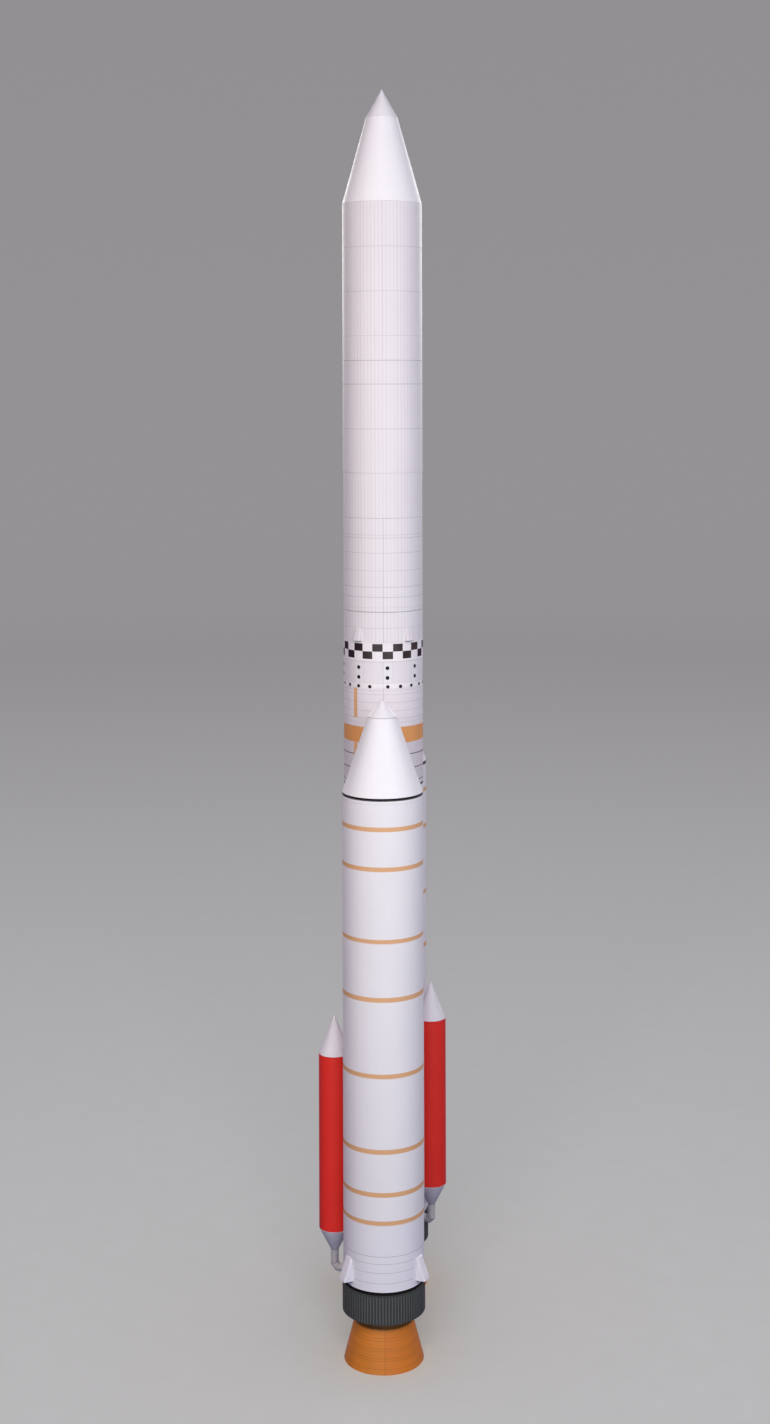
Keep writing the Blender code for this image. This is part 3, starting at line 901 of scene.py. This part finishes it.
def booster_skins(prefix):
    """The printed skin of each turned piece of a booster's tube."""
    bands = [Print("tan", bottom, top) for bottom, top in BOOSTER_BANDS]
    body = bands + ring_lines("line_faint", (BOOSTER_LINE,))
    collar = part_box("front_collar")[0].z
    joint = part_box("front_nose_cone")[1].z
    upper = body + [Print("black", collar - COLLAR_LINES[prefix], collar)]
    skirt = bands + ring_lines("line_faint", (SKIRT_TOP_LINE,))
    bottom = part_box("front_skirt")[0].z
    # pale band at the skirt's foot: cut edge with a painted highlight
    skirt.append(Print("cut", bottom, bottom + SKIRT_FOOT_BAND))
    for left, right in SKIRT_LINE_ENDS:
        skirt += [item._replace(left=left, right=right)
                  for item in even_lines("line_faint", SKIRT_LINES, SKIRT_LINE_WIDTH)]
    return {
        "tail_strip": Skin("black"),
        "skirt": Skin("skirt_white", skirt, low_edge="cut"),
        "tube_lower": Skin("body_white", body),
        "tube_middle": Skin("body_white", body),
        "tube_upper": Skin("body_white", upper, high_edge="black"),
        "collar": Skin("black"),
        "nose_cone": Skin("cone_white", [Print("line_faint", joint - TIP_LINE, joint + CARD)],
                          low_edge="cut", high_edge="line_grey"),
        "nose_tip": Skin("cone_white", low_edge="cut"),
    }


def make_ribbed_ring(node, stand):
    """The ring with upright ribs round a booster's tail."""
    pitch = 360.0 / RIB_COUNT
    columns = [Column((rib + share) * pitch, -RIB_DEPTH * depth)
               for rib in range(RIB_COUNT) for share, depth in RIB_PROFILE]
    crest_end = max(share for share, depth in RIB_PROFILE if depth == 0.0)
    ends = ends_of(node)
    radius = ends.low_radius
    rounding = 2 * EDGE
    rows = [Row(0.0, ends.bottom, 0), Row(radius - RIB_RUN_OUT, ends.bottom, 0),
            Row(radius - rounding, ends.bottom), Row(radius, ends.bottom + rounding),
            Row(radius, ends.top - RING_TOP_PAINTED_SHADOW), Row(radius, ends.top - rounding),
            Row(radius - rounding, ends.top), Row(radius - RIB_RUN_OUT, ends.top, 0),
            Row(0.0, ends.top, 0)]
    crest_strips = (2, 3)  # the lower edge, and the side up to the painted shadow at its top

    def ink_of(strip, angle):
        if strip not in crest_strips or angle is None:
            return "rib_groove"
        return "rib_crest" if (angle / pitch) % 1.0 < crest_end else "rib_groove"

    add_turned(node, stand, columns, rows, ink_of)


def make_nozzle(node, stand, seam):
    """A hollow nozzle: printed outside, dark inside, and closed at its neck."""
    ends = ends_of(node)
    prints = [Print("nozzle_dark", ends.bottom, ends.top, seam, seam + BACK)]
    lines = even_lines("nozzle_line", sorted(NOZZLE_LINES), NOZZLE_LINE_WIDTH)
    prints += lines
    prints += [seam_line(STRONG_SEAM, "nozzle_seam", side) for side in (seam, seam + BACK)]
    # painted shadow of the ribbed ring across the top of the neck
    prints += [Print(ink, bottom, ends.top) for ink, bottom in NOZZLE_NECK_PAINTED_SHADOW]
    heights = [ends.bottom + EDGE]
    for line in lines:
        heights += [line.bottom, line.top]
    heights += [bottom for ink, bottom in NOZZLE_NECK_PAINTED_SHADOW]
    heights.append(ends.top - EDGE)

    roof, lid = ends.top - NOZZLE_ROOF, ends.top - NOZZLE_LID
    bore = ends.low_radius - NOZZLE_WALL
    inside = [Row(0.0, lid, 0), Row(NOZZLE_THROAT - THROAT_TAPER, lid, 0),
              Row(NOZZLE_THROAT, roof, 0), Row(radius_at(ends, roof) - NOZZLE_WALL, roof, 0),
              Row(bore, ends.bottom + EDGE, 0)]
    rim = [Row(bore + EDGE, ends.bottom), Row(ends.low_radius - EDGE, ends.bottom)]
    outside = [Row(radius_at(ends, height), height) for height in heights]
    neck = [Row(ends.high_radius - EDGE, ends.top), Row(0.0, ends.top, 0)]
    rows = inside + rim + outside + neck
    inside_stop = len(inside) - 1
    rim_stop = inside_stop + len(rim)

    def ink_of(strip, angle):
        if strip < inside_stop:
            return "nozzle_inside"
        if strip < rim_stop:
            return "cut"
        if angle is None:
            return "nozzle_line"
        middle = (rows[strip].height + rows[strip + 1].height) / 2
        return printed_ink(prints, "nozzle", middle, angle)

    columns = rolled_columns(LARGE_COLUMNS, seam, prints, phase=1.0)
    add_turned(node, stand, columns, rows, ink_of)


def make_tank(prefix):
    """A booster's side tank: a red tube between two white cones."""
    stand = Stand(*axis_of(prefix + "tank_tube"), 0.0)
    skins = {
        # lower cone: white card greyed as painted shade
        "tank_tail": Skin("tail_white_painted_shade", low_edge="cut"),
        "tank_tube": Skin("red", low_edge="red_line", high_edge="red_line"),
        "tank_nose": Skin("tank_white", low_edge="cut"),
    }
    for name, skin in skins.items():
        reach_up = 0.0 if name == "tank_nose" else REACH_UP
        add_rolled(prefix + name, stand, skin, SMALL_COLUMNS, reach_up)


def pipe_loop(middle, cut, along, radius):
    """Ring of a pipe on a mitre plane. The pipe's route lies in its X and Z."""
    in_plane = Vector((-cut.y, cut.x))
    stretch = 1.0 / cut.dot(along)
    loop = []
    for number in range(PIPE_SIDES):
        turn = 2 * math.pi * number / PIPE_SIDES
        place = middle + in_plane * (radius * stretch * math.sin(turn))
        loop.append((place.x, radius * math.cos(turn), place.y))
    return loop


def make_pipe(prefix, booster_stand):
    """The feed pipe: down from the tank, round a mitred elbow, and into the tail."""
    node = prefix + "feed_pipe"
    x, y = axis_of(prefix + "tank_tube")
    across = Vector((booster_stand.x - x, booster_stand.y - y))
    ring_radius = outline_of(prefix + "ribbed_ring")[0][1]
    low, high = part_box(node)
    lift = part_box(prefix + "tank_tube")[0].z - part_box("front_tank_tube")[0].z
    run = PIPE_RUN_HEIGHT + lift
    radius = run - low.z
    route = [Vector(point) for point in (
        (0.0, high.z + REACH_UP), (0.0, run + PIPE_BEND), (PIPE_BEND, run),
        (across.length - ring_radius + LAP, run))]

    runs = [(end - start).normalized() for start, end in zip(route, route[1:])]
    still = [Vector((0.0, 0.0))]
    cuts = [(before + after).normalized() for before, after in zip(still + runs, runs + still)]

    form = Form()
    for along, start, end, start_cut, end_cut in zip(runs, route, route[1:], cuts, cuts[1:]):
        loops = [pipe_loop(start, start_cut, along, radius - PIPE_GROOVE),
                 pipe_loop(start + along * PIPE_JOINT, start_cut, along, radius),
                 pipe_loop(end - along * PIPE_JOINT, end_cut, along, radius),
                 pipe_loop(end, end_cut, along, radius - PIPE_GROOVE)]
        loft(form, loops, lambda strip, side: "pipe_beige" if strip == 1 else "pipe_line",
             ("pipe_line", "pipe_line"))
    add_piece(form, Stand(x, y, math.atan2(across.y, across.x)), node)


def make_booster(prefix, stand):
    """A booster with its side tank and feed pipe."""
    for name, skin in booster_skins(prefix).items():
        reach_up = 0.0 if name == "nose_tip" else REACH_UP
        add_rolled(prefix + name, stand, skin, LARGE_COLUMNS, reach_up)
    make_ribbed_ring(prefix + "ribbed_ring", stand)
    make_nozzle(prefix + "nozzle", stand, CAMERA_SEAM)
    skirt_radius = outline_of(prefix + "skirt")[0][1]
    for side in ("left", "right"):
        make_wedge(f"{prefix}bracket_{side}", stand, skirt_radius, BRACKET_LOOK)
    make_tank(prefix)
    make_pipe(prefix, stand)


# Studio

FLOOR_RADII = (0.0, 0.5, 1.5, 3.0, 4.2)  # rings of the flat floor
BACKDROP_BEND = 1.6  # radius of the curve between floor and backdrop
BACKDROP_STEPS = 16
BACKDROP_HEIGHT = 5.0
WORLD_COLOUR = (0.50, 0.47, 1.0, 1.0)
WORLD_STRENGTH = 0.155
LAMPS = (
    Lamp("left", (-0.60, -0.90, 0.86), (0.0, 0.0, 0.55), (0.5, 0.5), 4.6, (1.0, 0.90, 0.73)),
    Lamp("right", (0.60, -0.90, 0.80), (0.0, 0.0, 0.52), (0.5, 0.5), 5.1, (0.93, 1.0, 0.98)),
    Lamp("top", (0.0, -2.20, 2.20), (0.0, 0.0, 0.50), (1.6, 1.0), 21.0, (1.0, 0.95, 0.97)),
    Lamp("low", (0.0, -1.30, 0.30), (0.0, 0.0, 0.30), (1.6, 0.3), 3.6, (0.80, 1.0, 1.0)),
    Lamp("side", (1.40, 0.10, 0.70), (0.0, 0.0, 0.50), (0.8, 1.4), 2.9, (1.0, 0.89, 0.82)),
    Lamp("back_left", (-1.00, 2.00, 1.20), (0.0, 0.0, 0.50), (0.7, 0.7), 19.0, (1.0, 1.0, 0.92)),
    Lamp("back_right", (1.00, 2.00, 1.20), (0.0, 0.0, 0.50), (0.7, 0.7), 17.0, (1.0, 1.0, 0.92)),
    Lamp("floor_light", (0.0, 0.0, 3.20), (0.0, 0.001, 0.0), (3.0, 3.0), 20.0, (1.0, 0.99, 0.97)),
)
FLOOR_LINKS = {"top": None, "floor_light": "INCLUDE"}  # all other lamps leave the floor out


def make_floor():
    """A plain pale floor that rises into a wide round backdrop."""
    rows = [Row(radius, 0.0, 0) for radius in FLOOR_RADII]
    edge = FLOOR_RADII[-1]
    for step in range(1, BACKDROP_STEPS + 1):
        turn = math.pi / 2 * step / BACKDROP_STEPS
        rows.append(Row(edge + BACKDROP_BEND * math.sin(turn),
                        BACKDROP_BEND * (1 - math.cos(turn)), 0))
    rows.append(Row(edge + BACKDROP_BEND, BACKDROP_HEIGHT, 0))
    columns = [Column(360.0 * number / SMALL_COLUMNS, 0.0) for number in range(SMALL_COLUMNS)]
    form = Form()
    lathe(form, columns, rows, lambda strip, angle: "floor")
    floor = bpy.data.objects.new("floor", form.make_mesh("floor"))
    floor.visible_diffuse = False
    floor.visible_glossy = False
    bpy.context.scene.collection.objects.link(floor)
    return floor


def make_lamp(lamp, floor):
    """A soft lamp that the camera doesn't see."""
    light = bpy.data.lights.new(lamp.name, "AREA")
    light.shape = "RECTANGLE"
    light.size, light.size_y = lamp.size
    light.energy = lamp.power
    light.color = lamp.colour
    obj = bpy.data.objects.new(lamp.name, light)
    obj.location = lamp.place
    aim = Vector(lamp.target) - Vector(lamp.place)
    obj.rotation_euler = aim.to_track_quat("-Z", "Y").to_euler()
    obj.visible_camera = False
    bpy.context.scene.collection.objects.link(obj)
    floor_link = FLOOR_LINKS.get(lamp.name, "EXCLUDE")
    if floor_link:
        receivers = bpy.data.collections.new(lamp.name + "_receivers")
        receivers.objects.link(floor)
        receivers.collection_objects[0].light_linking.link_state = floor_link
        obj.light_linking.receiver_collection = receivers


def make_lights(floor):
    """The lamps, and a faint even light from all round."""
    world = bpy.data.worlds.new("studio")
    world.use_nodes = True
    background = world.node_tree.nodes["Background"]
    fill(world.node_tree, background, {"Color": WORLD_COLOUR, "Strength": WORLD_STRENGTH})
    bpy.context.scene.world = world
    for lamp in LAMPS:
        make_lamp(lamp, floor)


def make_camera(core_x):
    """The camera at the photograph's viewing angle."""
    camera = bpy.data.cameras.new("camera")
    camera.sensor_width = SENSOR_WIDTH
    camera.lens = camera.sensor_width * FOCAL_PIXELS / PHOTO_HEIGHT
    camera.shift_y = (HORIZON_ROW - PHOTO_HEIGHT / 2) / PHOTO_HEIGHT
    obj = bpy.data.objects.new("camera", camera)
    place = Vector((core_x + CAMERA_DISTANCE * math.sin(CAMERA_AZIMUTH),
                    -CAMERA_DISTANCE * math.cos(CAMERA_AZIMUTH), CAMERA_HEIGHT))
    turn = (Matrix.Rotation(CAMERA_AZIMUTH + CAMERA_AIM, 4, "Z")
            @ Matrix.Rotation(math.pi / 2, 4, "X")
            @ Matrix.Rotation(-CAMERA_ROLL, 4, "Z"))
    obj.matrix_world = Matrix.Translation(place) @ turn
    bpy.context.scene.collection.objects.link(obj)
    bpy.context.scene.camera = obj


def stand_of_core():
    """Where the core stands, turned so that its engines lie on its X axis."""
    left_x, left_y = axis_of("core_engine_left")
    right_x, right_y = axis_of("core_engine_right")
    x, y = axis_of("core_tube_lower")
    return Stand(x, y, math.atan2(right_y - left_y, right_x - left_x))


# The whole model

INKS = {name: make_ink(name, ink) for name, ink in INK_TABLE.items()}

core = stand_of_core()
make_core(core)
core_radius = outline_of("core_tube_lower")[0][1]
for number in range(1, PAD_COUNT + 1):
    make_wedge(f"fairing_pad_{number}", core, core_radius, PAD_LOOK)
make_core_base("core_base", core)
for engine in ("core_engine_left", "core_engine_right"):
    make_engine(engine)
for booster, turn in BOOSTERS:
    stand = Stand(*axis_of(booster + "skirt"), turn)
    make_booster(booster, stand)
    booster_radius = outline_of(booster + "skirt")[0][1]
    for fitting in ("lower_fitting", "upper_fitting"):
        make_fitting(booster + fitting, core, stand, core_radius, booster_radius)

make_lights(make_floor())
make_camera(core.x)
bpy.context.scene.view_settings.view_transform = "Standard"
